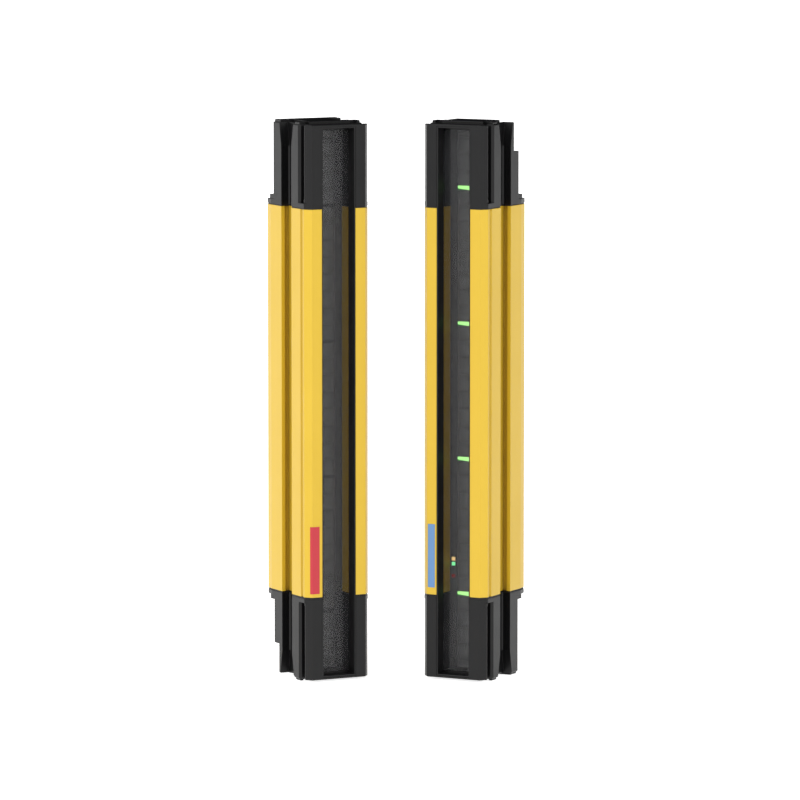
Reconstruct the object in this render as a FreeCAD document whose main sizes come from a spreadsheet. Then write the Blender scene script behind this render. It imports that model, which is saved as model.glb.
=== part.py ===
import FreeCAD, Part
import math
import os
import Sketcher
from FreeCAD import Vector

# Safety light curtain: an emitter bar and a receiver bar, turned towards each other.
#
# Every piece is drawn in the bar frame: x across the bar, y the depth behind its front face,
# z along the bar from the plain end. The emitter is the same bar turned end for end.
# Pieces of an end are drawn in the end frame: z runs from the end face to the joint with the housing.

doc = FreeCAD.newDocument("LightCurtain")

DRIVING_SIZES = {
    # the pair
    "barSpacing": 80.0,  # between the axes of the two bars
    "barYaw": 27.5,  # each bar turns this far inwards, in degrees
    # the extruded section
    "barWidth": 36.6,
    "barDepth": 46.6,
    "housingLength": 199.5,
    "bevelWidth": 3.0,  # front corner bevel, across the bar
    "bevelDepth": 3.4,  # front corner bevel, along the depth
    "shoulderEnd": 7.1,  # depth at which the sloping shoulder ends
    "shoulderDrop": 0.7,  # how far the shoulder slopes in
    "shoulderStep": 0.3,  # depth taken by the step back out to the side face
    "rearStripDepth": 5.3,  # the side face leans in over this much at the rear
    "rearStripDrop": 0.8,
    "sideSlotOffset": 0.075,  # of the side slot's middle, behind the middle of the section
    "sideSlotMouth": 11.45,
    "slotLip": 2.0,  # thickness of the slot lips
    "sideSlotDepth": 4.7,
    "sideSlotOverhang": 2.0,  # how far each lip reaches over the slot
    "rearSlotMouth": 9.0,
    "rearSlotLip": 2.2,
    "rearSlotWidth": 15.0,
    "rearSlotDepth": 5.6,
    "channelWidth": 19.3,  # open front channel
    "channelDepth": 15.7,  # to the front of the optics carrier
    "chamberSideWall": 6.6,  # from the chamber to the side face
    "chamberRearWall": 10.2,  # from the chamber to the rear face
    "guideSetback": 3.4,  # the card guides' front face lies this far before the chamber's end
    "guideGroove": 0.7,  # how far the card guides cut into the chamber's side walls
    # the window and its gasket
    "windowStart": 6.6,
    "windowThickness": 1.8,
    "windowGroove": 1.15,  # how far the window's groove cuts into each channel wall
    "windowPlay": 0.15,
    "gasketWall": 0.6,
    "gasketSetback": 0.2,
    "gasketPlay": 0.1,
    # the end caps
    "capHeight": 43.0,  # with its gasket
    "capSetback": 7.7,  # of the cap's rear face, before the housing's
    "capCorner": 0.9,
    "capEdge": 0.4,  # chamfer round the end face
    "padEdge": 0.3,  # chamfer round the raised pad
    "capFrontWall": 1.1,  # between the front recess and the end face
    "capEndWall": 3.0,  # between the window and the end face
    "capRearWall": 4.0,  # between the rear chamber and the end face
    "capFlange": 3.0,
    "capBlockHeight": 5.4,  # small blocks behind the cap, with the flange
    "capBlockSetback": 3.5,  # of the blocks' rear face, before the housing's
    "capBlockInset": 0.4,
    "capBlockWidth": 8.6,
    "capNotchStart": 2.4,  # the deep notch beside the front block
    "capNotchEnd": 9.0,
    "capNotchFloor": 3.6,
    "capShoulderEnd": 9.9,
    "capShoulderDrop": 1.3,
    "capSlotCorner": 0.6,  # chamfer along the inner corners of the cap's side slot
    "capChamberInset": 1.7,  # of the cap's rear chamber, from the housing's chamber
    "boardGap": 0.8,  # between the beam board and the cap's rear chamber
    "leadInLength": 12.0,  # the side slot widens over this length at the end
    "leadInFront": 2.6,
    "leadInRear": 2.3,
    "padHeight": 1.25,  # raised pad on the end face, which the bar stands on
    "padSideInset": 8.5,  # of the pad beside the side slots, from the side faces
    "padStart": 10.2,
    "padWingInset": 1.0,  # of the pad's wings, from the side faces
    "padRearInset": 0.6,  # of the pad, from the cap's rear face
    "padSlotGap": 0.4,  # between the pad's wings and the widened side slot
    "capGasketThickness": 0.8,
    "capGasketInset": 0.25,
    # the bay for the removable plug, in one cap
    "bayLength": 15.2,
    "bayCutback": 6.3,  # how far the cap is cut back beside the plug
    "bayPocketDepth": 4.5,  # of the pocket in the middle, below that cut
    "bayPocketWall": 6.0,  # from the pocket to the side faces
    "inletWidth": 20.4,
    "inletSeat": 0.4,  # from the pocket's floor to the inlet
    "inletDepth": 8.2,
    "inletHeight": 11.0,
    "inletWall": 1.0,
    "inletCavity": 9.0,
    "inletPlay": 0.1,
    "pinSide": 0.9,
    "pinHeight": 4.0,
    "pinRows": 2,
    "pinColumns": 4,
    "pinPitch": 3.6,
    "pinRowPitch": 2.6,
    "ribbonWidth": 12.0,
    "ribbonThickness": 0.6,
    # the screws that hold the caps
    "screwRadius": 1.5,
    "screwPlay": 0.05,
    "screwHeadRadius": 2.4,
    "screwHeadHeight": 3.0,
    "screwHeadPlay": 0.1,
    "screwHeadSeat": 19.0,  # height of the head's seat above the end face
    "screwThread": 9.0,  # how far the screw enters the housing
    "screwHexRadius": 1.35,
    "screwHexDepth": 1.6,
    "frontScrewInset": 4.6,  # of the front screws, from the side faces
    "frontScrewDepth": 11.9,
    "rearScrewInset": 3.6,
    "rearScrewSetback": 4.3,  # of the rear screws, from the cap's rear face
    # the optics
    "firstLamp": 42.2,  # height of the first joint between lens modules
    "lastLampGap": 33.3,  # from the last joint to the far end
    "fullSections": 3,  # the joints between them are evenly spaced
    "cellsPerSection": 8,
    "cellsBefore": 4,  # cells before the first joint
    "cellsAfter": 3,  # cells after the last joint
    "lensWidth": 11.0,
    "lensPlay": 0.1,
    "lensSlotDepth": 1.5,
    "lensPlate": 1.4,
    "cellRise": 0.5,
    "cellWidth": 10.4,
    "cellBorder": 0.35,
    "cellSlope": 0.5,
    "plainJoint": 0.4,  # gap between lens modules where there is no lamp
    "carrierPlay": 0.2,  # between the carrier and the chamber's side walls
    "boardSpace": 12.4,  # behind the carrier, for the boards
    "carrierEndPlay": 0.4,
    "tunnelSide": 6.0,
    "boardThickness": 1.6,
    "beamBoardPlay": 0.4,
    "diodeSide": 3.2,
    "diodeHeight": 1.5,
    "guidePlay": 0.1,
    "controlBoardEndGap": 3.0,
    "headerWidth": 12.0,
    "headerLength": 6.0,
    # lamps and labels
    "lampHeight": 2.0,
    "lampWidth": 10.6,
    "lampProud": 0.3,
    "lampPlay": 0.1,
    "stemSide": 1.4,
    "stemCentre": 4.3,
    "statusSide": 1.8,
    "statusCentre": 7.7,
    "amberHeight": 59.9,
    "greenHeight": 57.3,
    "redHeight": 51.1,
    "labelGap": 1.6,  # between the channel and the label, which reaches to the bevel
    "labelStart": 45.5,
    "labelLength": 34.0,
    "labelThickness": 0.12,
}

sheet = doc.addObject("Spreadsheet::Sheet", "Sizes")
for row, (alias, number) in enumerate(DRIVING_SIZES.items(), 1):
    sheet.set(f"A{row}", alias)
    sheet.set(f"B{row}", str(number))
    sheet.setAlias(f"B{row}", alias)
doc.recompute()


class Length:
    # A length or place together with the sheet formula that it comes from.
    def __init__(self, value, formula):
        self.value = value
        self.formula = formula

    def __add__(self, other):
        other = length(other)
        return Length(self.value + other.value, f"({self.formula} + {other.formula})")

    def __sub__(self, other):
        other = length(other)
        return Length(self.value - other.value, f"({self.formula} - {other.formula})")

    def __mul__(self, other):
        other = length(other)
        return Length(self.value * other.value, f"({self.formula} * {other.formula})")

    def __truediv__(self, other):
        other = length(other)
        return Length(self.value / other.value, f"({self.formula} / {other.formula})")

    def __neg__(self):
        return Length(-self.value, f"(0 - {self.formula})")

    def __radd__(self, other):
        return length(other) + self

    def __rsub__(self, other):
        return length(other) - self

    def __rmul__(self, other):
        return length(other) * self


def length(thing):
    if isinstance(thing, Length):
        return thing
    return Length(float(thing), repr(float(thing)))


class Sheet:
    # Sheet cells by alias, such as sizes.barWidth
    def __getattr__(self, alias):
        return Length(float(sheet.get(alias)), f"Sizes.{alias}")


sizes = Sheet()


# ---- places that several pieces share ----

half = sizes.barWidth / 2
frontHalf = half - sizes.bevelWidth
rearHalf = half - sizes.rearStripDrop
channelHalf = sizes.channelWidth / 2
chamberHalf = half - sizes.chamberSideWall
chamberEnd = sizes.barDepth - sizes.chamberRearWall
guideHalf = chamberHalf + sizes.guideGroove
guideStart = chamberEnd - sizes.guideSetback
slotStart = sizes.barDepth / 2 + sizes.sideSlotOffset - sizes.sideSlotMouth / 2
slotEnd = slotStart + sizes.sideSlotMouth
slotFloor = half - sizes.sideSlotDepth
barLength = sizes.housingLength + 2 * sizes.capHeight  # without the pads
capDepth = sizes.barDepth - sizes.capSetback
bayStart = capDepth - sizes.bayCutback
bayPocketStart = bayStart - sizes.bayPocketDepth
inletStart = bayPocketStart + sizes.inletSeat
inletEnd = inletStart + sizes.inletDepth
windowGrooveHalf = channelHalf + sizes.windowGroove
windowGrooveStart = sizes.windowStart - sizes.windowPlay
windowGrooveEnd = sizes.windowStart + sizes.windowThickness + sizes.windowPlay
carrierEnd = chamberEnd - sizes.boardSpace
carrierDepth = carrierEnd - sizes.channelDepth
beamBoardEnd = carrierEnd + sizes.boardThickness
controlBoardStart = guideStart + sizes.guidePlay
controlBoardEnd = guideStart + sizes.boardThickness + sizes.guidePlay
guideEnd = controlBoardEnd + sizes.guidePlay
lastLamp = barLength - sizes.lastLampGap
sectionPitch = (lastLamp - sizes.firstLamp) / sizes.fullSections
cellPitch = sectionPitch / sizes.cellsPerSection
capJoint = sizes.capHeight - sizes.capGasketThickness
hexRise = 3 ** 0.5 / 2  # height of a hexagon's corner, as a share of its radius
screwPlaces = [
    (side * across, depth)
    for across, depth in (
        (half - sizes.frontScrewInset, sizes.frontScrewDepth),
        (half - sizes.rearScrewInset, capDepth - sizes.rearScrewSetback),
    )
    for side in (-1, 1)
]


# ---- how the pieces are made ----


def both_sides(points):
    # A closed outline from its points on the right, and the same points on the left in reverse.
    return points + [(-x, y) for x, y in reversed(points)]


def box_outline(low_x, low_y, high_x, high_y):
    return [(low_x, low_y), (high_x, low_y), (high_x, high_y), (low_x, high_y)]


def even_outline(x, y, reach, corners):
    # A closed outline with even sides. The long hidden shanks and their holes use eight.
    turns = [math.pi * (2 * index + 1) / corners for index in range(corners)]
    return [
        (x + reach * round(math.cos(turn), 7), y + reach * round(math.sin(turn), 7))
        for turn in turns
    ]


def place_point(sketch, geometry, point, where):
    # Ties a point of the sketch to the origin by the formulas of its two coordinates.
    for kind, axis, amount in (("DistanceX", -2, where[0]), ("DistanceY", -1, where[1])):
        amount = length(amount)
        if amount.value == 0.0:
            sketch.addConstraint(Sketcher.Constraint("PointOnObject", geometry, point, axis))
            continue
        index = sketch.addConstraint(
            Sketcher.Constraint(kind, -1, 1, geometry, point, amount.value)
        )
        sketch.setExpression(f"Constraints[{index}]", amount.formula)


def new_sketch(body, name, role, offset):
    sketch = body.newObject("Sketcher::SketchObject", name)
    plane = next(item for item in body.Origin.OriginFeatures if item.Role == role)
    sketch.AttachmentSupport = [(plane, "")]
    sketch.MapMode = "FlatFace"
    if offset is not None:
        sketch.setExpression("AttachmentOffset.Base.z", length(offset).formula)
    return sketch


def draw(body, name, loops, role="XY_Plane", offset=None):
    # A sketch of closed polygons, each a list of (across, along) places.
    sketch = new_sketch(body, name, role, offset)
    for loop in loops:
        spots = [Vector(length(x).value, length(y).value, 0) for x, y in loop]
        first = len(sketch.Geometry)
        count = len(spots)
        for i in range(count):
            sketch.addGeometry(Part.LineSegment(spots[i], spots[(i + 1) % count]), False)
        for i in range(count):
            following = first + (i + 1) % count
            sketch.addConstraint(Sketcher.Constraint("Coincident", first + i, 2, following, 1))
        for i in range(count):
            place_point(sketch, first + i, 1, loop[i])
    return sketch


def draw_circles(body, name, centres, radius, role="XY_Plane", offset=None):
    sketch = new_sketch(body, name, role, offset)
    add_circles(sketch, centres, radius)
    return sketch


def add_circles(sketch, centres, radius):
    radius = length(radius)
    for x, y in centres:
        middle = Vector(length(x).value, length(y).value, 0)
        circle = sketch.addGeometry(Part.Circle(middle, Vector(0, 0, 1), radius.value), False)
        place_point(sketch, circle, 3, (x, y))
        index = sketch.addConstraint(Sketcher.Constraint("Radius", circle, radius.value))
        sketch.setExpression(f"Constraints[{index}]", radius.formula)


def extrude(body, kind, sketch, amount, reverse=False, symmetric=False):
    feature = body.newObject(f"PartDesign::{kind}", f"{sketch.Name}_{kind}")
    feature.Profile = sketch
    feature.setExpression("Length", length(amount).formula)
    feature.Reversed = reverse
    if symmetric:
        feature.SideType = "Symmetric"
    sketch.Visibility = False
    return feature


def pad(body, sketch, amount, reverse=False, symmetric=False):
    return extrude(body, "Pad", sketch, amount, reverse, symmetric)


def pocket(body, sketch, amount, reverse=False, symmetric=False):
    return extrude(body, "Pocket", sketch, amount, reverse, symmetric)


def break_edges(body, feature, height, amount):
    # Chamfers all the edges that lie at one height.
    FreeCAD.ActiveDocument.recompute()
    names = [
        f"Edge{index + 1}"
        for index, edge in enumerate(feature.Shape.Edges)
        if all(abs(vertex.Z - height) < 1e-6 for vertex in edge.Vertexes)
    ]
    chamfer = body.newObject("PartDesign::Chamfer", f"{feature.Name}_edges")
    chamfer.Base = (feature, names)
    chamfer.setExpression("Size", amount.formula)
    return chamfer


def repeat_along(body, feature, pitch, count):
    # Copies a feature along the bar, count times in all.
    pattern = body.newObject("PartDesign::LinearPattern", f"{feature.Name}_row")
    pattern.Originals = [feature]
    axis = next(item for item in body.Origin.OriginFeatures if item.Role == "Z_Axis")
    pattern.Direction = (axis, [""])
    pattern.Mode = "Spacing"
    pattern.setExpression("Offset", length(pitch).formula)
    pattern.setExpression("Occurrences", length(count).formula)
    body.Tip = pattern
    return pattern


# ---- where the bars stand ----

# The section is turned about its middle. Its front and rear corners reach unequally far,
# and the shift puts the middle of the turned pair at y = 0.
depthShift = f"({frontHalf.formula} - {rearHalf.formula}) * sin(Sizes.barYaw) / 2"
turnOver = "rotation(vector(0; 1; 0); 180)"


class Bar:
    def __init__(self, name, side, turned):
        self.name = name
        self.side = side  # -1 at the left, 1 at the right
        self.turned = turned
        height = (barLength + sizes.padHeight) if turned else sizes.padHeight
        flip = turnOver if turned else "rotation(vector(0; 1; 0); 0)"
        self.formula = (
            f"placement(vector({side} * Sizes.barSpacing / 2; {depthShift}; {height.formula});"
            f" rotation(vector(0; 0; 1); {-side} * Sizes.barYaw))"
            f" * placement(vector(0; -Sizes.barDepth / 2; 0); {flip})"
        )
        # At the far end the end frame is turned over, so that it starts at that end's face.
        self.farEnd = f"{self.formula} * placement(vector(0; 0; {barLength.formula}); {turnOver})"
        self.nearEnd = self.formula

    def piece(self, kind, label, frame=None):
        thing = doc.addObject(kind, f"{self.name}_{label}")
        thing.Label = f"{self.name}_{label}"
        thing.setExpression("Placement", frame or self.formula)
        pieces.append(thing)
        return thing

    def body(self, label, frame=None):
        return self.piece("PartDesign::Body", label, frame)

    def along(self, height):
        # The bar frame moved up the bar.
        return f"{self.formula} * placement(vector(0; 0; {length(height).formula}); {NO_TURN})"


NO_TURN = "rotation(vector(0; 0; 1); 0)"
pieces = []


# ---- the extruded housing ----


def outer_side(with_slots):
    # The right half of the housing's outside, from the channel to the rear slot.
    lip = half - sizes.slotLip
    points = [
        (channelHalf, length(0)),
        (frontHalf, length(0)),
        (half, sizes.bevelDepth),
    ]
    if with_slots:
        points += [
            (half - sizes.shoulderDrop, sizes.shoulderEnd),
            (half, sizes.shoulderEnd + sizes.shoulderStep),
            (half, slotStart),
            (lip, slotStart),
            (lip, slotStart - sizes.sideSlotOverhang),
            (slotFloor, slotStart - sizes.sideSlotOverhang),
            (slotFloor, slotEnd + sizes.sideSlotOverhang),
            (lip, slotEnd + sizes.sideSlotOverhang),
            (lip, slotEnd),
        ]
    else:
        points += [
            (half, slotStart),
            (slotFloor, slotStart),
            (slotFloor, slotEnd),
        ]
    points += [
        (half, slotEnd),
        (half, sizes.barDepth - sizes.rearStripDepth),
        (rearHalf, sizes.barDepth),
    ]
    return points


def rear_slot_side():
    mouth = sizes.rearSlotMouth / 2
    wide = sizes.rearSlotWidth / 2
    inner = sizes.barDepth - sizes.rearSlotLip
    return [
        (mouth, sizes.barDepth),
        (mouth, inner),
        (wide, inner),
        (wide, sizes.barDepth - sizes.rearSlotDepth),
    ]


def channel_side():
    # The right wall of the front channel, from the carrier's ledge out to the front.
    return [
        (channelHalf, sizes.channelDepth),
        (channelHalf, windowGrooveEnd),
        (windowGrooveHalf, windowGrooveEnd),
        (windowGrooveHalf, windowGrooveStart),
        (channelHalf, windowGrooveStart),
    ]


def chamber_side():
    return [
        (chamberHalf, chamberEnd),
        (chamberHalf, guideEnd),
        (guideHalf, guideEnd),
        (guideHalf, guideStart),
        (chamberHalf, guideStart),
        (chamberHalf, sizes.channelDepth),
    ]


def shank_holes():
    # The clearance holes for the four long cap screws.
    reach = sizes.screwRadius + sizes.screwPlay
    return [even_outline(x, y, reach, 8) for x, y in screwPlaces]


def make_housing(bar):
    body = bar.body("housing")
    right = outer_side(True) + rear_slot_side()
    inside = chamber_side() + channel_side()
    left = [(-x, y) for x, y in reversed(right)]
    insideLeft = [(-x, y) for x, y in reversed(inside)]
    section = right + left + insideLeft + inside
    loops = [section] + shank_holes()
    sketch = draw(body, f"{bar.name}_section", loops, offset=sizes.capHeight)
    pad(body, sketch, sizes.housingLength)


# ---- window and gasket ----


def make_window(bar):
    body = bar.body("window")
    edge = windowGrooveHalf - sizes.windowPlay
    pane = box_outline(-edge, sizes.windowStart, edge, sizes.windowStart + sizes.windowThickness)
    low = sizes.capEndWall + sizes.windowPlay
    sketch = draw(body, f"{bar.name}_pane", [pane], offset=low)
    pad(body, sketch, barLength - 2 * low)


def make_window_gasket(bar):
    body = bar.body("window_gasket")
    edge = channelHalf - sizes.gasketPlay
    low = sizes.capFrontWall + sizes.gasketPlay
    inner = edge - sizes.gasketWall
    inner_low = low + sizes.gasketWall
    rim = draw(
        body,
        f"{bar.name}_rim",
        [
            box_outline(-edge, low, edge, barLength - low),
            box_outline(-inner, inner_low, inner, barLength - inner_low),
        ],
        "XZ_Plane",
        -sizes.windowStart,
    )
    pad(body, rim, sizes.windowStart - sizes.gasketSetback)


# ---- optics ----


def make_carrier(bar):
    body = bar.body("optics_carrier")
    edge = chamberHalf - sizes.carrierPlay
    low = sizes.capEndWall + sizes.carrierEndPlay
    block = box_outline(-edge, sizes.channelDepth, edge, carrierEnd)
    pad(body, draw(body, f"{bar.name}_chassis", [block], offset=low), barLength - 2 * low)
    lens = sizes.lensWidth / 2
    slot = box_outline(-lens, low, lens, barLength - low)
    floor = sizes.channelDepth + sizes.lensSlotDepth
    pocket(
        body,
        draw(body, f"{bar.name}_lens_slot", [slot], "XZ_Plane", -sizes.channelDepth),
        sizes.lensSlotDepth,
    )
    middle = sizes.firstLamp - (sizes.cellsBefore - 0.5) * cellPitch
    side = sizes.tunnelSide / 2
    tunnel = box_outline(-side, middle - side, side, middle + side)
    first = pocket(
        body,
        draw(body, f"{bar.name}_tunnel", [tunnel], "XZ_Plane", -floor),
        carrierEnd - floor,
    )
    count = sizes.cellsBefore + sizes.fullSections * sizes.cellsPerSection + sizes.cellsAfter
    repeat_along(body, first, cellPitch, count)
    hole = sizes.statusSide / 2 + sizes.lampPlay
    lamps = [
        box_outline(-sizes.statusCentre - hole, z - hole, -sizes.statusCentre + hole, z + hole)
        for z in (sizes.amberHeight, sizes.greenHeight, sizes.redHeight)
    ]
    pocket(
        body,
        draw(body, f"{bar.name}_status_holes", lamps, "XZ_Plane", -sizes.channelDepth),
        carrierDepth,
    )
    if not bar.turned:
        hole = sizes.stemSide / 2 + sizes.lampPlay
        z = sizes.firstLamp
        stem = box_outline(sizes.stemCentre - hole, z - hole, sizes.stemCentre + hole, z + hole)
        first = pocket(
            body,
            draw(body, f"{bar.name}_stem_hole", [stem], "XZ_Plane", -floor),
            carrierEnd - floor,
        )
        repeat_along(body, first, sectionPitch, sizes.fullSections + 1)


def make_lens_module(bar, number, low, high, first_cell, cells):
    # A strip of lens cells between two joints. Each cell is a raised pad with sloping ends.
    body = bar.body(f"lens_module_{number}", bar.along(low))
    edge = sizes.lensWidth / 2 - sizes.lensPlay
    back = sizes.channelDepth + sizes.lensSlotDepth
    front = back - sizes.lensPlate
    plate = box_outline(-edge, front, edge, back)
    pad(body, draw(body, f"{bar.name}_strip_{number}", [plate]), high - low)
    start = first_cell - low + sizes.cellBorder
    end = first_cell - low + cellPitch - sizes.cellBorder
    cell = [
        (front + sizes.cellRise, start),
        (front, start),
        (front - sizes.cellRise, start + sizes.cellSlope),
        (front - sizes.cellRise, end - sizes.cellSlope),
        (front, end),
        (front + sizes.cellRise, end),
    ]
    first = pad(
        body,
        draw(body, f"{bar.name}_cell_{number}", [cell], "YZ_Plane"),
        sizes.cellWidth,
        symmetric=True,
    )
    repeat_along(body, first, cellPitch, cells)
    if not bar.turned:
        # The end cells are cut off flush with the plate, to leave room for the lamps.
        near = front - 2 * sizes.cellRise
        ends = [
            box_outline(near, -cellPitch, back, 0),
            box_outline(near, high - low, back, high - low + cellPitch),
        ]
        trim = draw(body, f"{bar.name}_trim_{number}", ends, "YZ_Plane")
        pocket(body, trim, sizes.lensWidth, symmetric=True)


def make_lens_modules(bar):
    joint = sizes.plainJoint if bar.turned else sizes.lampHeight + 2 * sizes.lampPlay
    end_gap = sizes.capEndWall + sizes.carrierEndPlay + sizes.lensPlay
    first = sizes.firstLamp
    before = first - sizes.cellsBefore * cellPitch
    make_lens_module(bar, 1, end_gap, first - joint / 2, before, sizes.cellsBefore)
    sections = int(sizes.fullSections.value)
    for index in range(sections):
        low = first + index * sectionPitch
        high = low + sectionPitch - joint / 2
        make_lens_module(bar, index + 2, low + joint / 2, high, low, sizes.cellsPerSection)
    low = lastLamp + joint / 2
    make_lens_module(bar, sections + 2, low, barLength - end_gap, lastLamp, sizes.cellsAfter)


def make_beam_board(bar, diode_label):
    body = bar.body("beam_board")
    edge = chamberHalf - sizes.beamBoardPlay
    low = sizes.capRearWall + sizes.carrierEndPlay
    board = box_outline(-edge, carrierEnd, edge, beamBoardEnd)
    pad(body, draw(body, f"{bar.name}_beam_board_outline", [board], offset=low), barLength - 2 * low)

    diodes = bar.body(diode_label)
    side = sizes.diodeSide / 2
    middle = sizes.firstLamp - (sizes.cellsBefore - 0.5) * cellPitch
    chip = box_outline(-side, middle - side, side, middle + side)
    first = pad(
        diodes,
        draw(diodes, f"{bar.name}_diode", [chip], "XZ_Plane", -carrierEnd),
        sizes.diodeHeight,
    )
    count = sizes.cellsBefore + sizes.fullSections * sizes.cellsPerSection + sizes.cellsAfter
    repeat_along(diodes, first, cellPitch, count)


def make_control_board(bar):
    body = bar.body("control_board")
    edge = guideHalf - sizes.guidePlay
    low = sizes.capHeight + sizes.controlBoardEndGap
    board = box_outline(-edge, controlBoardStart, edge, controlBoardEnd)
    sketch = draw(body, f"{bar.name}_control_board_outline", [board], offset=low)
    pad(body, sketch, barLength - 2 * low)

    header = bar.body("board_header")
    edge = sizes.headerWidth / 2
    block = box_outline(-edge, beamBoardEnd, edge, controlBoardStart)
    low = (barLength - sizes.headerLength) / 2
    pad(header, draw(header, f"{bar.name}_header_outline", [block], offset=low), sizes.headerLength)


# ---- end caps ----


def cap_side():
    # The right half of the cap's outside, with the deep notch and the side slot.
    front_lip = frontHalf + sizes.capNotchStart * sizes.bevelWidth / sizes.bevelDepth
    notch = half - sizes.capNotchFloor
    corner = sizes.capSlotCorner
    return [
        (frontHalf, length(0)),
        (front_lip, sizes.capNotchStart),
        (notch, sizes.capNotchStart),
        (notch, sizes.capNotchEnd),
        (half - sizes.capShoulderDrop, sizes.capNotchEnd),
        (half, sizes.capShoulderEnd),
        (half, slotStart),
        (slotFloor + corner, slotStart),
        (slotFloor, slotStart + corner),
        (slotFloor, slotEnd - corner),
        (slotFloor + corner, slotEnd),
        (half, slotEnd),
        (half, capDepth - sizes.capCorner),
        (half - sizes.capCorner, capDepth),
    ]


def pad_side(with_bay):
    # The right half of the raised pad on the end face, cut back beside the side slot.
    wing = half - sizes.padWingInset
    narrowed = slotStart - sizes.padSlotGap
    front = [(wing, sizes.padStart), (wing, narrowed)]
    if with_bay:
        edge = half - sizes.bayPocketWall
        return front + [(edge, narrowed), (edge, bayPocketStart)]
    edge = half - sizes.padSideInset
    widened = slotEnd + sizes.leadInRear + sizes.padSlotGap
    rear = capDepth - sizes.padRearInset
    return front + [(edge, narrowed), (edge, widened), (wing, widened), (wing, rear)]


def make_cap(bar, label, frame, with_bay):
    body = bar.body(label, frame)
    stem = f"{bar.name}_{label}"
    outside = draw(body, f"{stem}_outside", [both_sides(cap_side())])
    break_edges(body, pad(body, outside, capJoint), 0, sizes.capEdge)

    flange_low = sizes.capHeight - sizes.capFlange
    wide = sizes.rearSlotWidth / 2
    flange = outer_side(False)[1:] + [(wide, sizes.barDepth), (wide, capDepth)]
    pad(
        body,
        draw(body, f"{stem}_flange", [both_sides(flange)], offset=flange_low),
        sizes.capFlange - sizes.capGasketThickness,
    )
    outer = half - sizes.capBlockInset
    rear = sizes.barDepth - sizes.capBlockSetback
    inner = outer - sizes.capBlockWidth
    low_depth = capDepth - sizes.capCorner
    blocks = [
        box_outline(inner, low_depth, outer, rear),
        box_outline(-outer, low_depth, -inner, rear),
    ]
    block_low = sizes.capHeight - sizes.capBlockHeight
    pad(
        body,
        draw(body, f"{stem}_blocks", blocks, offset=block_low),
        sizes.capBlockHeight - sizes.capFlange,
    )
    foot = both_sides(pad_side(with_bay))
    raised = pad(body, draw(body, f"{stem}_foot", [foot]), sizes.padHeight, reverse=True)
    break_edges(body, raised, -sizes.padHeight.value, sizes.padEdge)

    # The front recess before the window, the window's groove, and the chamber for the optics.
    chamber_start = beamBoardEnd + sizes.boardGap
    recess = box_outline(-channelHalf, -sizes.bevelDepth, channelHalf, sizes.windowStart)
    pocket(
        body,
        draw(body, f"{stem}_recess", [recess], offset=capJoint),
        capJoint - sizes.capFrontWall,
    )
    right = list(reversed(channel_side()))[1:]
    right += [(chamberHalf, sizes.channelDepth), (chamberHalf, chamber_start)]
    pocket(
        body,
        draw(body, f"{stem}_channel", [both_sides(right)], offset=capJoint),
        capJoint - sizes.capEndWall,
    )
    chamber = chamberHalf - sizes.capChamberInset
    low = sizes.bayLength + sizes.inletHeight if with_bay else sizes.capRearWall
    room = box_outline(-chamber, chamber_start, chamber, chamberEnd)
    pocket(body, draw(body, f"{stem}_chamber", [room], offset=capJoint), capJoint - low)

    if with_bay:
        make_bay(body, stem)
    make_screw_holes(body, stem)
    make_lead_ins(body, stem)


def make_bay(body, stem):
    # The cap is cut back beside the plug, and deeper in the middle, where the plug sits.
    pocket_half = half - sizes.bayPocketWall
    back = sizes.barDepth
    right = [
        (pocket_half, bayPocketStart),
        (pocket_half, bayStart),
        (sizes.barWidth, bayStart),
        (sizes.barWidth, back),
    ]
    bay = draw(body, f"{stem}_bay", [both_sides(right)], offset=-sizes.padHeight)
    pocket(body, bay, sizes.bayLength + sizes.padHeight, reverse=True)
    edge = sizes.inletWidth / 2 + sizes.inletPlay
    seat = box_outline(
        -edge, inletStart - sizes.inletPlay, edge, inletEnd + sizes.inletPlay
    )
    hole = draw(body, f"{stem}_inlet_seat", [seat], offset=sizes.bayLength)
    pocket(body, hole, sizes.inletHeight, reverse=True)


def make_screw_holes(body, stem):
    wide = sizes.screwHeadRadius + sizes.screwHeadPlay
    low = -sizes.padHeight
    heads = draw_circles(body, f"{stem}_head_holes", screwPlaces, wide, offset=low)
    pocket(body, heads, sizes.screwHeadSeat + sizes.padHeight, reverse=True)
    shanks = draw(body, f"{stem}_shank_holes", shank_holes())
    pocket(body, shanks, sizes.capHeight, reverse=True)


def make_lead_ins(body, stem):
    # The side slot widens towards the end, so that a bracket's tongue finds its way in.
    front = slotStart
    mouth = [
        (front, sizes.leadInLength),
        (front - sizes.leadInFront, -sizes.padHeight),
        (slotEnd + sizes.leadInRear, -sizes.padHeight),
        (slotEnd, sizes.leadInLength),
    ]
    for side, letter in ((1, "right"), (-1, "left")):
        sketch = draw(body, f"{stem}_lead_in_{letter}", [mouth], "YZ_Plane", side * half)
        pocket(body, sketch, sizes.sideSlotDepth, reverse=side < 0)


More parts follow.
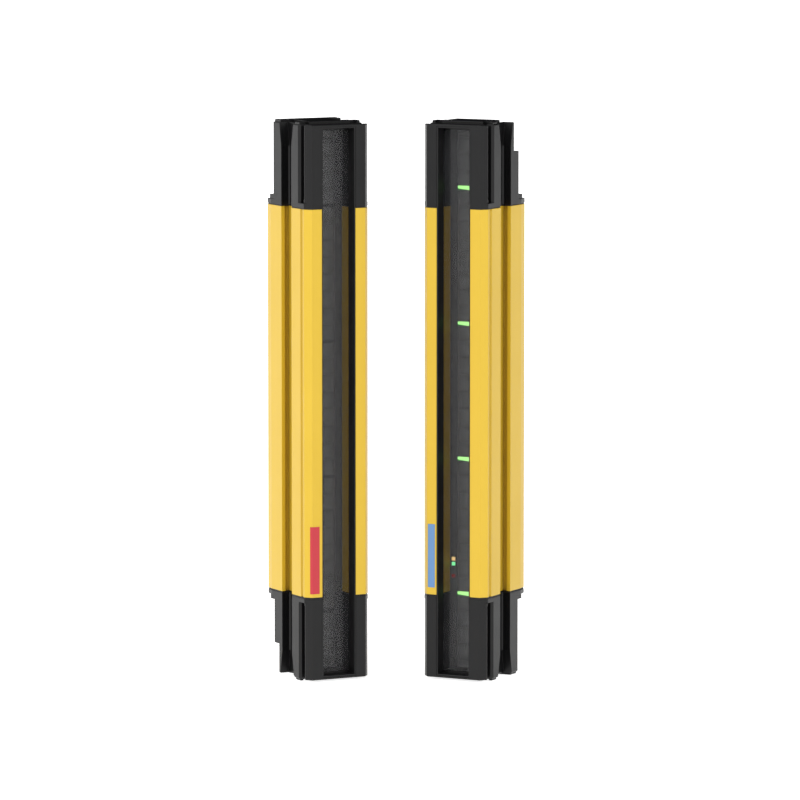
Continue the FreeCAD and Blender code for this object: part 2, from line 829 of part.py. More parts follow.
def make_cap_gasket(bar, label, frame):
    body = bar.body(label, frame)
    inset = sizes.capGasketInset
    right = [
        (channelHalf + inset, inset),
        (frontHalf - inset / 2, inset),
        (half - inset, sizes.bevelDepth + inset / 2),
        (half - inset, slotStart - inset),
        (slotFloor - inset, slotStart - inset),
        (slotFloor - inset, slotEnd + inset),
        (half - inset, slotEnd + inset),
        (half - inset, capDepth),
        (rearHalf - inset, sizes.barDepth - inset),
        (sizes.rearSlotWidth / 2 + inset, sizes.barDepth - inset),
        (sizes.rearSlotWidth / 2 + inset, capDepth),
    ]
    left = [(-x, y) for x, y in reversed(right)]
    inner = [
        (chamberHalf, chamberEnd),
        (chamberHalf, sizes.channelDepth),
        (windowGrooveHalf, sizes.channelDepth),
        (windowGrooveHalf, windowGrooveStart),
        (channelHalf + inset, windowGrooveStart),
    ]
    innerLeft = [(-x, y) for x, y in reversed(inner)]
    outline = right + left + innerLeft + inner
    loops = [outline] + shank_holes()
    sketch = draw(body, f"{bar.name}_{label}_outline", loops, offset=capJoint)
    pad(body, sketch, sizes.capGasketThickness)


def make_cap_screws(bar, label, frame):
    body = bar.body(label, frame)
    stem = f"{bar.name}_{label}"
    seat = sizes.screwHeadSeat
    outlines = [even_outline(x, y, sizes.screwRadius, 8) for x, y in screwPlaces]
    shanks = draw(body, f"{stem}_shanks", outlines, offset=seat)
    pad(body, shanks, sizes.capHeight - seat + sizes.screwThread)
    heads = draw_circles(body, f"{stem}_heads", screwPlaces, sizes.screwHeadRadius, offset=seat)
    pad(body, heads, sizes.screwHeadHeight, reverse=True)
    low = seat - sizes.screwHeadHeight
    hexes = []
    for x, y in screwPlaces:
        reach = sizes.screwHexRadius
        rise = reach * hexRise
        hexes.append([
            (x + reach, y), (x + reach / 2, y + rise), (x - reach / 2, y + rise),
            (x - reach, y), (x - reach / 2, y - rise), (x + reach / 2, y - rise),
        ])
    sketch = draw(body, f"{stem}_sockets", hexes, offset=low)
    pocket(body, sketch, sizes.screwHexDepth, reverse=True)


# ---- the inlet for the removable plug ----


def make_inlet(bar, frame):
    shell = bar.body("inlet_shell", frame)
    edge = sizes.inletWidth / 2
    block = box_outline(-edge, inletStart, edge, inletEnd)
    low = sizes.bayLength
    outside = draw(shell, f"{bar.name}_shell_outside", [block], offset=low)
    pad(shell, outside, sizes.inletHeight)
    wall = sizes.inletWall
    cavity = box_outline(
        -edge + wall, inletStart + wall, edge - wall, inletEnd - wall
    )
    inside = draw(shell, f"{bar.name}_shell_cavity", [cavity], offset=low)
    pocket(shell, inside, sizes.inletCavity, reverse=True)

    pins = bar.body("inlet_pins", frame)
    middle = (inletStart + inletEnd) / 2
    rows = int(sizes.pinRows.value)
    columns = int(sizes.pinColumns.value)
    places = [
        (
            (column - (columns - 1) / 2) * sizes.pinPitch,
            middle + (row - (rows - 1) / 2) * sizes.pinRowPitch,
        )
        for row in range(rows)
        for column in range(columns)
    ]
    root = low + sizes.inletCavity
    side = sizes.pinSide / 2
    squares = [box_outline(x - side, y - side, x + side, y + side) for x, y in places]
    sketch = draw(pins, f"{bar.name}_pin_squares", squares, offset=root)
    pad(pins, sketch, sizes.pinHeight, reverse=True)

    ribbon = bar.body("inlet_ribbon", frame)
    edge = sizes.ribbonWidth / 2
    centre = (controlBoardStart + controlBoardEnd) / 2
    thin = sizes.ribbonThickness / 2
    strip = box_outline(-edge, centre - thin, edge, centre + thin)
    start = low + sizes.inletHeight
    sketch = draw(ribbon, f"{bar.name}_ribbon_outline", [strip], offset=start)
    pad(ribbon, sketch, sizes.capHeight + sizes.controlBoardEndGap - start)


# ---- lamps and label ----


def make_status_lamp(bar, label, heights):
    # A clear rod through the carrier, from the beam board to just proud of the carrier's face.
    body = bar.body(label)
    side = sizes.statusSide / 2
    x = -sizes.statusCentre
    rods = [box_outline(x - side, z - side, x + side, z + side) for z in heights]
    sketch = draw(body, f"{bar.name}_{label}_outline", rods, "XZ_Plane", -carrierEnd)
    pad(body, sketch, carrierDepth + sizes.lampProud)


def make_zone_lamp(bar, number):
    # A light pipe across the lens strip, with a stem through the carrier to the beam board.
    middle = sizes.firstLamp + (number - 1) * sectionPitch
    body = bar.body(f"zone_lamp_{number}", bar.along(middle))
    across = sizes.lampWidth / 2
    tall = sizes.lampHeight / 2
    back = sizes.channelDepth + sizes.lensSlotDepth
    front = sizes.channelDepth - sizes.lampProud
    face = box_outline(-across, -tall, across, tall)
    sketch = draw(body, f"{bar.name}_lamp_face_{number}", [face], "XZ_Plane", -back)
    pad(body, sketch, back - front)
    side = sizes.stemSide / 2
    stem = box_outline(sizes.stemCentre - side, -side, sizes.stemCentre + side, side)
    sketch = draw(body, f"{bar.name}_lamp_stem_{number}", [stem], "XZ_Plane", -back)
    pad(body, sketch, carrierEnd - back, reverse=True)


def make_label(bar):
    # A thin film on the front strip, on the left of the bar as it stands.
    body = bar.body("type_label")
    low = channelHalf + sizes.labelGap
    high = frontHalf
    if bar.turned:
        field = box_outline(
            low, barLength - sizes.labelStart - sizes.labelLength, high, barLength - sizes.labelStart
        )
    else:
        field = box_outline(-high, sizes.labelStart, -low, sizes.labelStart + sizes.labelLength)
    sketch = draw(body, f"{bar.name}_label_outline", [field], "XZ_Plane")
    pad(body, sketch, sizes.labelThickness)


# ---- the two bars ----


def make_bar(bar, diode_label):
    make_housing(bar)
    make_window(bar)
    make_window_gasket(bar)
    make_carrier(bar)
    make_lens_modules(bar)
    make_beam_board(bar, diode_label)
    make_control_board(bar)
    for end, frame in (("plain", bar.nearEnd), ("plug", bar.farEnd)):
        make_cap(bar, f"{end}_end_cap", frame, end == "plug")
        make_cap_gasket(bar, f"{end}_end_gasket", frame)
        make_cap_screws(bar, f"{end}_cap_screws", frame)
    make_inlet(bar, bar.farEnd)
    make_label(bar)


emitter = Bar("emitter", -1, turned=True)
receiver = Bar("receiver", 1, turned=False)
make_bar(emitter, "beam_diodes")
make_bar(receiver, "photo_diodes")
make_status_lamp(emitter, "status_lamps", (sizes.amberHeight, sizes.greenHeight, sizes.redHeight))
make_status_lamp(receiver, "amber_lamp", (sizes.amberHeight,))
make_status_lamp(receiver, "green_lamp", (sizes.greenHeight,))
make_status_lamp(receiver, "red_lamp", (sizes.redHeight,))
for lamp in range(int(sizes.fullSections.value) + 1):
    make_zone_lamp(receiver, lamp + 1)

doc.recompute()
for thing in doc.Objects:
    if "Invalid" in thing.State or "Error" in thing.State:
        raise RuntimeError(f"{thing.Name} did not compute: {thing.State}")
for thing in pieces:
    if thing.Shape.isNull() or not thing.Shape.isValid():
        raise RuntimeError(f"{thing.Label} has no valid shape")

os.makedirs("parts", exist_ok=True)
for thing in pieces:
    thing.Shape.exportStep(f"parts/{thing.Label}.step")
print(f"{len(pieces)} pieces written")
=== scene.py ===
import math

import bmesh
import bpy
import numpy as np
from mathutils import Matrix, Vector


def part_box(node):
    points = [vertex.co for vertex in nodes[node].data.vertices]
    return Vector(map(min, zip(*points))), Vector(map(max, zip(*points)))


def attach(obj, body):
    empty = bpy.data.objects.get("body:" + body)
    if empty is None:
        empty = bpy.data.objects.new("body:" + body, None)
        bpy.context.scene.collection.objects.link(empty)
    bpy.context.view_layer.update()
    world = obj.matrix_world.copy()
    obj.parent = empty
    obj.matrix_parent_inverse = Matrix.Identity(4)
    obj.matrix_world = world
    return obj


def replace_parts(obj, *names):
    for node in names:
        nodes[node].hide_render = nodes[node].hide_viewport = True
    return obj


# Safety light curtain: a pair of upright bars, the emitter at the left and the receiver at the right.
# The CAD frame gives every size and place. This script gives it finishes, small details and the studio.

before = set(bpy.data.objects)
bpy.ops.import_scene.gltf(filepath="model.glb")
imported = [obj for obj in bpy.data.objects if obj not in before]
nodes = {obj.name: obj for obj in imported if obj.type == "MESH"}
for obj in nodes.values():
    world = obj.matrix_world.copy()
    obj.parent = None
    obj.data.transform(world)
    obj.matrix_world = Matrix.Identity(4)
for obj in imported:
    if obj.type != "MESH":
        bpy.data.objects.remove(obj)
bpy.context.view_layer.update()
scene = bpy.context.scene
mm = 0.001
bars = ("emitter", "receiver")
print("stage: frame loaded,", len(nodes), "CAD nodes")


def linearFromHex(text):
    # sRGB to linear: c / 12.92 below 0.04045, otherwise ((c + 0.055) / 1.055) to the power 2.4
    channels = [int(text[i:i + 2], 16) / 255 for i in (1, 3, 5)]
    return tuple(c / 12.92 if c <= 0.04045 else ((c + 0.055) / 1.055) ** 2.4 for c in channels) + (1.0,)


def addNode(tree, kind, settings=None, links=None):
    # Adds one node, sets its sockets or properties by name, and links sockets to outputs of other nodes.
    node = tree.nodes.new(kind)
    for key, value in (settings or {}).items():
        if isinstance(key, str) and hasattr(node, key):
            setattr(node, key, value)
        else:
            node.inputs[key].default_value = value
    for key, output in (links or {}).items():
        tree.links.new(output, node.inputs[key])
    return node


def newMaterial(name):
    # An empty node material with its Principled shader and its Object coordinates.
    material = bpy.data.materials.new(name)
    material.use_nodes = True
    tree = material.node_tree
    tree.nodes.clear()
    output = addNode(tree, "ShaderNodeOutputMaterial")
    shader = addNode(tree, "ShaderNodeBsdfPrincipled")
    tree.links.new(shader.outputs["BSDF"], output.inputs["Surface"])
    place = addNode(tree, "ShaderNodeTexCoord")
    return material, tree, shader, place.outputs["Object"]


def dress(names, material):
    # Gives CAD nodes their finish.
    for name in names:
        mesh = nodes[name].data
        mesh.materials.clear()
        mesh.materials.append(material)


studio = {
    "lens": 278.26,  # mm
    "sensor": 36.0,  # mm
    "cameraPlace": (0.0020, -3.1687, 0.4950),
    "cameraPitch": 6.335,  # degrees below the horizon
    "sight": 200.0,  # m that the camera sees
    "brightSide": (-0.50, -0.866, 0.0),  # the white walls stand here, in front and to the left
    "brightGlow": 1.25,
    "darkGlow": 0.0,  # the wall behind the bars is black
    "brightFrom": 0.0,  # the walls are white from a quarter turn off the bright side
    "darkFrom": -0.6,  # and black from about 127 degrees off it
}

cameraData = bpy.data.cameras.new("camera")
cameraData.lens = studio["lens"]
cameraData.sensor_width = studio["sensor"]
cameraData.clip_end = studio["sight"]
camera = bpy.data.objects.new("camera", cameraData)
camera.location = studio["cameraPlace"]
camera.rotation_euler = (math.radians(90.0 - studio["cameraPitch"]), 0.0, 0.0)
scene.collection.objects.link(camera)
scene.camera = camera

scene.view_settings.view_transform = "Standard"
world = bpy.data.worlds.new("studio")
scene.world = world
world.use_nodes = True
room = world.node_tree
direction = addNode(room, "ShaderNodeTexCoord")
facing = addNode(room, "ShaderNodeVectorMath", {"operation": "DOT_PRODUCT"}, {0: direction.outputs["Generated"]})
facing.inputs[1].default_value = studio["brightSide"]
ramp = {"From Min": studio["darkFrom"], "From Max": studio["brightFrom"],
        "To Min": studio["darkGlow"], "To Max": studio["brightGlow"]}
glow = addNode(room, "ShaderNodeMapRange", ramp, {"Value": facing.outputs["Value"]})
room.links.new(glow.outputs["Result"], room.nodes["Background"].inputs["Strength"])
room.nodes["Background"].inputs["Color"].default_value = (1.0, 1.0, 1.0, 1.0)

keyLight = {
    "place": (-1.0, -2.6, 1.8),
    "target": (0, 0, 0.14),
    "size": (1.2, 1.2),  # m
    "power": 8.0,  # W
}


def addSoftbox(name, box):
    # A flat square lamp that faces its target.
    light = bpy.data.lights.new(name, "AREA")
    light.shape = "RECTANGLE"
    light.size, light.size_y = box["size"]
    light.energy = box["power"]
    lamp = bpy.data.objects.new(name, light)
    aim = np.array(box["target"]) - np.array(box["place"])
    lamp.location = box["place"]
    yaw = math.atan2(aim[1], aim[0]) - math.pi / 2
    pitch = math.atan2(aim[2], math.hypot(aim[0], aim[1]))
    lamp.rotation_euler = (pitch + math.pi / 2, 0.0, yaw)
    scene.collection.objects.link(lamp)


addSoftbox("keyLeft", keyLight)

floorSheet = {
    "radius": 30.0,  # m
    "rings": 24,
    "spokes": 96,
    "firstRing": 0.02,  # the share of u at which the rings begin
    "color": "#F6F6F6",
    "roughness": 0.9,
    "glow": 0.88,  # the sheet is lit from below, as on a product table
}


def makeFloor():
    # A disc: rings of radius r = R * u * u and angle 2 * pi * v.
    rings, spokes = floorSheet["rings"], floorSheet["spokes"]
    u = np.linspace(floorSheet["firstRing"], 1.0, rings)
    v = np.arange(spokes) / spokes * 2 * np.pi
    radius = floorSheet["radius"] * u * u
    x = np.outer(radius, np.cos(v)).ravel()
    y = np.outer(radius, np.sin(v)).ravel()
    points = np.column_stack([x, y, np.zeros_like(x)])
    i, j = np.meshgrid(np.arange(rings - 1), np.arange(spokes), indexing="ij")
    following = (j + 1) % spokes
    inner, outer = i * spokes, (i + 1) * spokes
    faces = np.stack([inner + j, outer + j, outer + following, inner + following], -1)
    middle = np.arange(spokes)[None, :]
    mesh = bpy.data.meshes.new("floor")
    mesh.from_pydata(points.tolist(), [], faces.reshape(-1, 4).tolist() + middle.tolist())
    floor = bpy.data.objects.new("floor", mesh)
    scene.collection.objects.link(floor)
    return floor


# Opal acrylic sheet, extruded and matt: an even white with no edge or shine of its own.
floor = makeFloor()
opalSheet, _, opalShader, _ = newMaterial("opal acrylic sheet")
opalShader.inputs["Base Color"].default_value = linearFromHex(floorSheet["color"])
opalShader.inputs["Roughness"].default_value = floorSheet["roughness"]
opalShader.inputs["Emission Color"].default_value = linearFromHex(floorSheet["color"])
opalShader.inputs["Emission Strength"].default_value = floorSheet["glow"]
opalSheet.cycles.emission_sampling = "NONE"  # rays find so wide a sheet without being aimed at it
floor.data.materials.append(opalSheet)
print("stage: studio and camera")

# What all finishes share.
finishDetail = {
    "cloudDetail": 3.0,
    "grainDetail": 2.0,
    "grainDepth": 0.0001,  # m
    "edgeSamples": 6,
    "recessSamples": 8,
}


def makeFinish(name, finish):
    # A solid finish: its colour drifts in soft clouds, its bump is a grain, its edges are broken by a radius, and
    # painted shade may darken its colour in recesses.
    # Cloud, grain, edge and the reach of the painted shade are in mm. Sockets 6 and 7 and output 2 of Mix are its
    # colours.
    material, tree, shader, place = newMaterial(name)
    clouds = {"Scale": 1 / (finish["cloud"] * mm), "Detail": finishDetail["cloudDetail"]}
    cloud = addNode(tree, "ShaderNodeTexNoise", clouds, {"Vector": place})
    tint = addNode(tree, "ShaderNodeMix", {"data_type": "RGBA"}, {"Factor": cloud.outputs["Fac"]})
    tint.inputs[6].default_value = linearFromHex(finish["color"])
    tint.inputs[7].default_value = linearFromHex(finish["shade"])
    color = tint.outputs[2]
    if "recess" in finish:
        # Painted shade: ambient occlusion darkens the base colour towards a brown deep in the slots, where shade
        # falls.
        around = {"samples": finishDetail["recessSamples"], "Distance": finish["recessReach"] * mm}
        reach = addNode(tree, "ShaderNodeAmbientOcclusion", around)
        share = {"To Min": finish["recess"], "To Max": 1.0}
        level = addNode(tree, "ShaderNodeMapRange", share, {"Value": reach.outputs["AO"]})
        deep = addNode(tree, "ShaderNodeMix", {"data_type": "RGBA"}, {"Factor": level.outputs["Result"]})
        deep.inputs[6].default_value = linearFromHex(finish["deep"])
        tree.links.new(color, deep.inputs[7])
        color = deep.outputs[2]
    tree.links.new(color, shader.inputs["Base Color"])
    swing = {"To Min": finish["roughness"] - finish["swing"], "To Max": finish["roughness"] + finish["swing"]}
    gloss = addNode(tree, "ShaderNodeMapRange", swing, {"Value": cloud.outputs["Fac"]})
    tree.links.new(gloss.outputs["Result"], shader.inputs["Roughness"])
    grains = {"Scale": 1 / (finish["grain"] * mm), "Detail": finishDetail["grainDetail"]}
    fine = addNode(tree, "ShaderNodeTexNoise", grains, {"Vector": place})
    relief = {"Strength": finish["relief"], "Distance": finishDetail["grainDepth"]}
    bump = addNode(tree, "ShaderNodeBump", relief, {"Height": fine.outputs["Fac"]})
    if finish["edge"] > 0:
        rounding = {"samples": finishDetail["edgeSamples"], "Radius": finish["edge"] * mm}
        edge = addNode(tree, "ShaderNodeBevel", rounding)
        tree.links.new(edge.outputs["Normal"], bump.inputs["Normal"])
    tree.links.new(bump.outputs["Normal"], shader.inputs["Normal"])
    shader.inputs["Metallic"].default_value = finish.get("metallic", 0.0)
    shader.inputs["IOR"].default_value = finish.get("ior", 1.5)
    return material


# Polyester powder coat on extruded aluminium, sprayed and baked: a warm yellow with a satin sheen
# and an orange peel about 0.9 mm across, with painted shade that darkens it to brown deep in the slots.
powderCoat = {"color": "#CFAC2E", "shade": "#C9A62A", "cloud": 30.0, "roughness": 0.38, "swing": 0.04,
              "ior": 1.42, "grain": 0.9, "relief": 0.12, "edge": 0.35,
              # The deep colour, its least share and its reach in mm give the painted shade in the slots.
              "deep": "#8E6A1A", "recess": 0.25, "recessReach": 6.0}
# Black paint on die castings: nearly no light comes back from it but its sheen.
blackCasting = {"color": "#0D0D0E", "shade": "#0A0A0B", "cloud": 12.0, "roughness": 0.36, "swing": 0.05,
                "ior": 1.34, "grain": 0.6, "relief": 0.18, "edge": 0.3}
# Silicone rubber, moulded: a matt black that swallows light, with slightly rounded edges.
siliconeRubber = {"color": "#101011", "shade": "#0D0D0E", "cloud": 8.0, "roughness": 0.5, "swing": 0.06,
                  "ior": 1.4, "grain": 0.5, "relief": 0.1, "edge": 0.15}
# Glass filled nylon, moulded in a spark eroded tool: an even, dull dark grey.
# Its real grain is too fine to show, so it is drawn coarser and very shallow.
nylonMoulding = {"color": "#303031", "shade": "#282829", "cloud": 10.0, "roughness": 0.55, "swing": 0.06,
                 "grain": 2.0, "relief": 0.04, "edge": 0.0}
# Acrylic lens strip, moulded and frosted: grey with lighter and darker patches about 4 mm across.
# Its frosting is too fine to show, so the bump is drawn coarser and very shallow.
lensAcrylic = {"color": "#707070", "shade": "#383838", "cloud": 4.0, "roughness": 0.35, "swing": 0.08,
               "grain": 2.5, "relief": 0.05, "edge": 0.0}
# Glass epoxy board under solder mask, screen printed: a dark green with a soft gloss.
solderMask = {"color": "#0E3A1C", "shade": "#0B3218", "cloud": 9.0, "roughness": 0.35, "swing": 0.05,
              "grain": 0.5, "relief": 0.06, "edge": 0.1}
# Dark epoxy of an infrared diode, cast: smooth and glassy, almost black.
diodeEpoxy = {"color": "#2A2030", "shade": "#221A28", "cloud": 4.0, "roughness": 0.18, "swing": 0.04,
              "grain": 0.5, "relief": 0.02, "edge": 0.2}
# Zinc plated steel, bright and slightly cloudy from the bath.
zincSteel = {"color": "#B9BABC", "shade": "#A4A6A8", "cloud": 3.0, "roughness": 0.3, "swing": 0.08,
             "grain": 0.4, "relief": 0.06, "edge": 0.2, "metallic": 1.0}
# Tin plated contact pins, drawn: a soft, slightly warm metal shine.
tinPins = {"color": "#CFC9BE", "shade": "#BDB6A8", "cloud": 2.0, "roughness": 0.25, "swing": 0.05,
           "grain": 0.4, "relief": 0.04, "edge": 0.1, "metallic": 1.0}
# Polyester film rolled round flat copper leads: a pale grey with a dull gloss.
leadFilm = {"color": "#A6A6AA", "shade": "#929298", "cloud": 3.0, "roughness": 0.4, "swing": 0.05,
            "grain": 0.6, "relief": 0.05, "edge": 0.05}
# Printed polyester label films with a satin face.
redLabel = {"color": "#B8202F", "shade": "#AE1C2B", "cloud": 14.0, "roughness": 0.32, "swing": 0.04,
            "grain": 0.5, "relief": 0.04, "edge": 0.05}
blueLabel = {"color": "#5C86B8", "shade": "#557EAF", "cloud": 14.0, "roughness": 0.32, "swing": 0.04,
             "grain": 0.5, "relief": 0.04, "edge": 0.05}
# Clear polycarbonate light pipes, polished in the tool: dark and glossy while unlit.
clearPipe = {"color": "#505050", "shade": "#484848", "cloud": 3.0, "roughness": 0.15, "swing": 0.04,
             "grain": 0.5, "relief": 0.03, "edge": 0.15}

yellow = makeFinish("yellow powder coat", powderCoat)
black = makeFinish("black painted casting", blackCasting)
rubber = makeFinish("black silicone rubber", siliconeRubber)
moulding = makeFinish("black nylon moulding", nylonMoulding)
lensMaterial = makeFinish("moulded lens acrylic", lensAcrylic)
board = makeFinish("green solder mask", solderMask)
resin = makeFinish("cast diode epoxy", diodeEpoxy)
steel = makeFinish("zinc plated steel", zincSteel)
pins = makeFinish("tin plated pins", tinPins)
ribbon = makeFinish("polyester lead film", leadFilm)
redFilm = makeFinish("red label film", redLabel)
blueFilm = makeFinish("blue label film", blueLabel)
clearLamp = makeFinish("clear polycarbonate", clearPipe)

# Light pipes of tinted polycarbonate, lit from a diode behind them: a colour and how strongly it glows.
litPipes = {
    "green": ("#3FA838", 0.5),
    "pale green": ("#A6F08A", 1.7),
    "bright green": ("#7CF0A0", 1.4),
    "amber": ("#FFD48A", 0.9),
    "red": ("#9A1820", 0.1),
}


def makeLitPipe(name):
    color, strength = litPipes[name]
    material = makeFinish(name + " light pipe", dict(clearPipe, color=color, shade=color))
    shader = next(node for node in material.node_tree.nodes if node.type == "BSDF_PRINCIPLED")
    shader.inputs["Emission Color"].default_value = linearFromHex(color)
    shader.inputs["Emission Strength"].default_value = strength
    material.cycles.emission_sampling = "NONE"
    return material


green, amber, red = makeLitPipe("green"), makeLitPipe("amber"), makeLitPipe("red")
paleGreen, brightGreen = makeLitPipe("pale green"), makeLitPipe("bright green")

# Cast acrylic sheet, smoked grey all through and polished: each face holds back a quarter of the light.
smokedPane = {"color": "#3C3C3E", "roughness": 0.08, "ior": 1.46, "alpha": 0.25}


def makeSmokedAcrylic():
    material, _, shader, _ = newMaterial("smoked acrylic")
    shader.inputs["Base Color"].default_value = linearFromHex(smokedPane["color"])
    shader.inputs["Roughness"].default_value = smokedPane["roughness"]
    shader.inputs["IOR"].default_value = smokedPane["ior"]
    shader.inputs["Alpha"].default_value = smokedPane["alpha"]
    return material


smoked = makeSmokedAcrylic()
for bar in bars:
    own = [name for name in nodes if name.startswith(bar)]
    dress([bar + "_housing"], yellow)
    dress([name for name in own if "end_cap" in name], black)
    dress([name for name in own if "gasket" in name], rubber)
    dress([bar + "_optics_carrier"], moulding)
    dress([name for name in own if "lens_module" in name], lensMaterial)
    dress([bar + "_beam_board", bar + "_control_board"], board)
    dress([name for name in own if "diodes" in name], resin)
    dress([bar + "_board_header", bar + "_inlet_shell"], moulding)
    dress([name for name in own if "screws" in name], steel)
    dress([bar + "_inlet_pins"], pins)
    dress([bar + "_inlet_ribbon"], ribbon)
    dress([bar + "_window"], smoked)
dress(["emitter_status_lamps"], clearLamp)
dress(["receiver_amber_lamp"], amber)
dress(["receiver_green_lamp"], brightGreen)
dress(["receiver_red_lamp"], red)
dress([name for name in nodes if "zone_lamp" in name], green)
dress(["emitter_type_label"], redFilm)
dress(["receiver_type_label"], blueFilm)
print("stage: finishes")

barSet = {
    "centre": 40.0,  # mm from the middle of the pair to the middle of each bar
    "forward": 0.506,  # mm from the frame's origin to the bars' middles, towards the front
    "turn": 27.5,  # degrees, each bar towards the other
    "depth": 46.6,  # mm
}


def inBar(bar, across, depth, height):
    # Places in the frame of points given across a bar from its middle, back from its front face, and up, in mm.
    side = -1 if bar == "emitter" else 1
    turn = math.radians(-side * barSet["turn"])
    back = depth - barSet["depth"] / 2
    x = side * barSet["centre"] + across * math.cos(turn) - back * math.sin(turn)
    y = across * math.sin(turn) + back * math.cos(turn) - barSet["forward"]
    return np.stack(np.broadcast_arrays(x, y, height), -1) * mm


def softPower(share, power):
    # The size of a share raised to a power below 1, with its sign kept, which squares a circle off.
    return np.sign(share) * np.abs(share) ** power


def addShell(name, points, material):
    # A closed shell from a grid of points: each row is a closed loop, and the first and last loops are filled.
    rows, columns = points.shape[:2]
    i, j = np.meshgrid(np.arange(rows - 1), np.arange(columns), indexing="ij")
    following = (j + 1) % columns
    lower, upper = i * columns, (i + 1) * columns
    sides = np.stack([lower + j, lower + following, upper + following, upper + j], -1)
    ends = [list(range(columns)), list(range((rows - 1) * columns, rows * columns))]
    mesh = bpy.data.meshes.new(name)
    mesh.from_pydata(points.reshape(-1, 3).tolist(), [], sides.reshape(-1, 4).tolist() + ends)
    shell = bmesh.new()
    shell.from_mesh(mesh)
    bmesh.ops.recalc_face_normals(shell, faces=shell.faces)
    shell.to_mesh(mesh)
    shell.free()
    mesh.materials.append(material)
    piece = bpy.data.objects.new(name, mesh)
    scene.collection.objects.link(piece)
    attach(piece, "root")
    return piece


# Lens strips: one bulging cell in front of each diode. Sizes are in mm.
lensCells = {
    "modules": 5,
    "joint": {"emitter": 244.55, "receiver": 43.45},  # height of one border between cells
    "pitch": 8.75,  # from cell to cell, eight in each 70 mm section
    "width": 10.2,
    "back": 15.4,  # just inside the pads of the lens modules
    "face": 15.2,
    "step": 0.6,  # the rounded step round a cell
    "stepPower": 6,
    "bulge": 0.8,
    "bulgePower": 2,
    "rowPitch": 0.36,
    "columns": 24,
    "margin": 0.5,  # left free at both ends of a module
}


def makeLensCells(bar, number):
    # Depth = face - step * (1 - a^6)(1 - b^6) - bulge * (1 - a^2)(1 - b^2).
    # Here a runs from -1 to 1 across the strip, and b from -1 to 1 up each cell.
    low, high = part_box("%s_lens_module_%d" % (bar, number))
    bottom, top = low[2] / mm + lensCells["margin"], high[2] / mm - lensCells["margin"]
    height = np.linspace(bottom, top, int((top - bottom) / lensCells["rowPitch"]))[:, None]
    a = np.linspace(-1, 1, lensCells["columns"])[None, :]
    b = 2 * np.mod((height - lensCells["joint"][bar]) / lensCells["pitch"], 1.0) - 1
    steep, gentle = lensCells["stepPower"], lensCells["bulgePower"]
    depth = (lensCells["face"] - lensCells["step"] * (1 - a ** steep) * (1 - b ** steep)
             - lensCells["bulge"] * (1 - a ** gentle) * (1 - b ** gentle))
    across = np.broadcast_to(a * lensCells["width"] / 2, depth.shape)
    front = inBar(bar, across, depth, height)
    back = inBar(bar, across[:, ::-1], np.full(depth.shape, lensCells["back"]), height)
    points = np.concatenate([front, back], axis=1)
    piece = addShell("%s_lens_cells_%d" % (bar, number), points, lensMaterial)
    piece.data.shade_smooth()


for bar in bars:
    for number in range(1, lensCells["modules"] + 1):
        makeLensCells(bar, number)

# A rib along the front of the deep notch of each cap, and a lug at the notch's foot. Sizes are in mm.
capNotch = {
    "ends": ((1.35, 41.2), (246.8, 286.65)),  # heights of the notches, at the foot and at the top
    "rib": ((14.75, 2.3), (17.3, 2.3), (17.8, 2.9), (17.95, 3.2), (17.9, 3.6), (14.75, 3.6)),  # across, back
    "ribTaper": 0.3,  # length of the narrowed part at each end
    "ribTip": 0.9,
    "lug": (1.1, 1.9, 1.0),  # half its size across, back and up
    "lugPlace": (15.7, 5.1),
    "lugPower": 0.3,
    "lugPole": 88,  # degrees
    "lugRows": 17,
    "lugStep": 10,  # degrees
}


def notchName(bar, label, side, end):
    return "%s_notch_%s_%s_%s" % (bar, label, "left" if side < 0 else "right", "top" if end else "foot")


def makeNotchRib(bar, side, end):
    # A straight outline carried up the notch, a little smaller at the very ends.
    low, high = capNotch["ends"][end]
    taper, tip = capNotch["ribTaper"], capNotch["ribTip"]
    outline = np.array(capNotch["rib"])
    middle = outline.mean(axis=0)
    height = np.array([low, low + taper, high - taper, high])[:, None]
    size = np.array([tip, 1.0, 1.0, tip])[:, None]
    across = side * (middle[0] + size * (outline[None, :, 0] - middle[0]))
    depth = middle[1] + size * (outline[None, :, 1] - middle[1])
    points = inBar(bar, across, depth, height)
    addShell(notchName(bar, "frontRib", side, end), points, black)


def makeNotchLug(bar, side, end):
    # A rounded block: each of cos u cos v, cos u sin v and sin u to a small power, times half its size.
    pole, power = capNotch["lugPole"], capNotch["lugPower"]
    u = np.radians(np.linspace(-pole, pole, capNotch["lugRows"]))[:, None]
    v = np.radians(np.arange(0, 360, capNotch["lugStep"]))[None, :]
    wide, deep, tall = capNotch["lug"]
    across, back = capNotch["lugPlace"]
    middle = capNotch["ends"][end][0] + tall if end else capNotch["ends"][end][1] - tall
    points = inBar(bar,
                   side * across + wide * softPower(np.cos(u), power) * softPower(np.cos(v), power),
                   back + deep * softPower(np.cos(u), power) * softPower(np.sin(v), power),
                   middle + tall * softPower(np.sin(u), power))
    piece = addShell(notchName(bar, "lug", side, end), points, black)
    piece.data.shade_smooth()


for bar in bars:
    for side in (-1, 1):
        for end in (0, 1):
            makeNotchRib(bar, side, end)
            makeNotchLug(bar, side, end)

# Heads of the zone lamps: wedges that widen towards the outer side of the bar. Sizes are in mm.
lampHead = {
    "lamps": 4,
    "width": 10.4,
    "top": 1.05,  # above the lamp's middle
    "thin": 1.5,
    "thick": 2.6,
    "front": 14.9,
    "back": 15.7,
    "stations": 24,
    "angleFirst": 6,  # degrees
    "angleStep": 12,
    "outlinePower": 0.45,
    "endRound": 0.4,  # length over which an end rounds off
    "endLeast": 0.15,
}


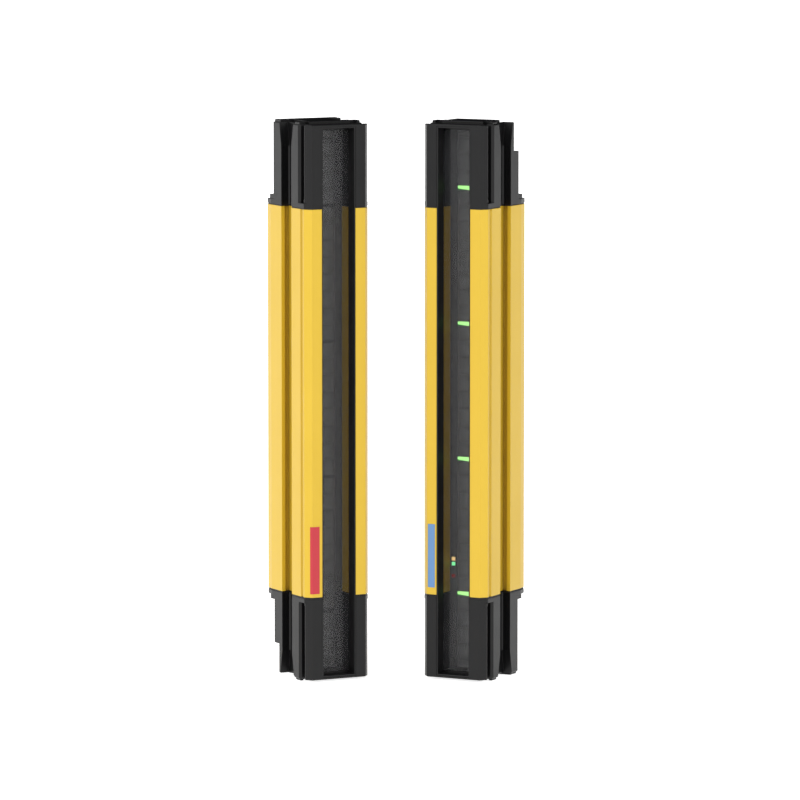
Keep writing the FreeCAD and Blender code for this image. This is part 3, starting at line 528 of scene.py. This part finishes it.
def makeLampHead(number):
    # A squared-off circle carried across the bar. Its height grows in a straight line,
    # and both ends shrink with the square root of the distance to the end.
    low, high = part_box("receiver_zone_lamp_%d" % number)
    middle = (low[2] + high[2]) / 2 / mm
    width, power = lampHead["width"], lampHead["outlinePower"]
    across = np.linspace(-width / 2, width / 2, lampHead["stations"])[:, None]
    share = across / width + 0.5
    tall = lampHead["thin"] + (lampHead["thick"] - lampHead["thin"]) * share
    nearEnd = np.minimum(share, 1 - share) * width / lampHead["endRound"] + lampHead["endLeast"]
    size = np.minimum(1.0, np.sqrt(nearEnd))
    angle = np.radians(np.arange(0, 360, lampHead["angleStep"]) + lampHead["angleFirst"])[None, :]
    height = middle + lampHead["top"] - tall / 2 + size * tall / 2 * softPower(np.sin(angle), power)
    half = (lampHead["back"] - lampHead["front"]) / 2
    depth = lampHead["back"] - half + size * half * softPower(np.cos(angle), power)
    points = inBar("receiver", np.broadcast_to(across, height.shape), depth, height)
    piece = addShell("receiver_lamp_head_%d" % number, points, paleGreen)
    piece.data.shade_smooth()


for number in range(1, lampHead["lamps"] + 1):
    makeLampHead(number)

# Label films: the emitter's wraps a little onto the bevel, the receiver's lies flat. Sizes are in mm.
labelFilm = {
    "path": {  # across, back
        "emitter": ((-16.2, 1.02), (-15.35, 0.03), (-15.2, 0.0), (-11.3, 0.0)),
        "receiver": ((-14.5, 0.0), (-13.0, 0.0), (-12.0, 0.0), (-10.5, 0.0)),
    },
    "lift": {"emitter": -0.7, "receiver": 1.2},  # of the lower edge
    "thickness": 0.12,
    "rows": 12,
}


def makeLabelFilm(bar, material):
    # A path across the bar, its copy one thickness in front, and the loop of both carried up the bar.
    low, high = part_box(bar + "_type_label")
    path = np.array(labelFilm["path"][bar])
    loop = np.concatenate([path, path[::-1] - (0.0, labelFilm["thickness"])])
    height = np.linspace(low[2] / mm + labelFilm["lift"][bar], high[2] / mm, labelFilm["rows"])[:, None]
    shape = (len(height), len(loop))
    points = inBar(bar, np.broadcast_to(loop[:, 0], shape), np.broadcast_to(loop[:, 1], shape), height)
    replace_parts(addShell(bar + "_label_film", points, material), bar + "_type_label")


makeLabelFilm("emitter", redFilm)
makeLabelFilm("receiver", blueFilm)
print("stage: lens cells, notch ribs, lamp heads and labels")

print("stage: finish")
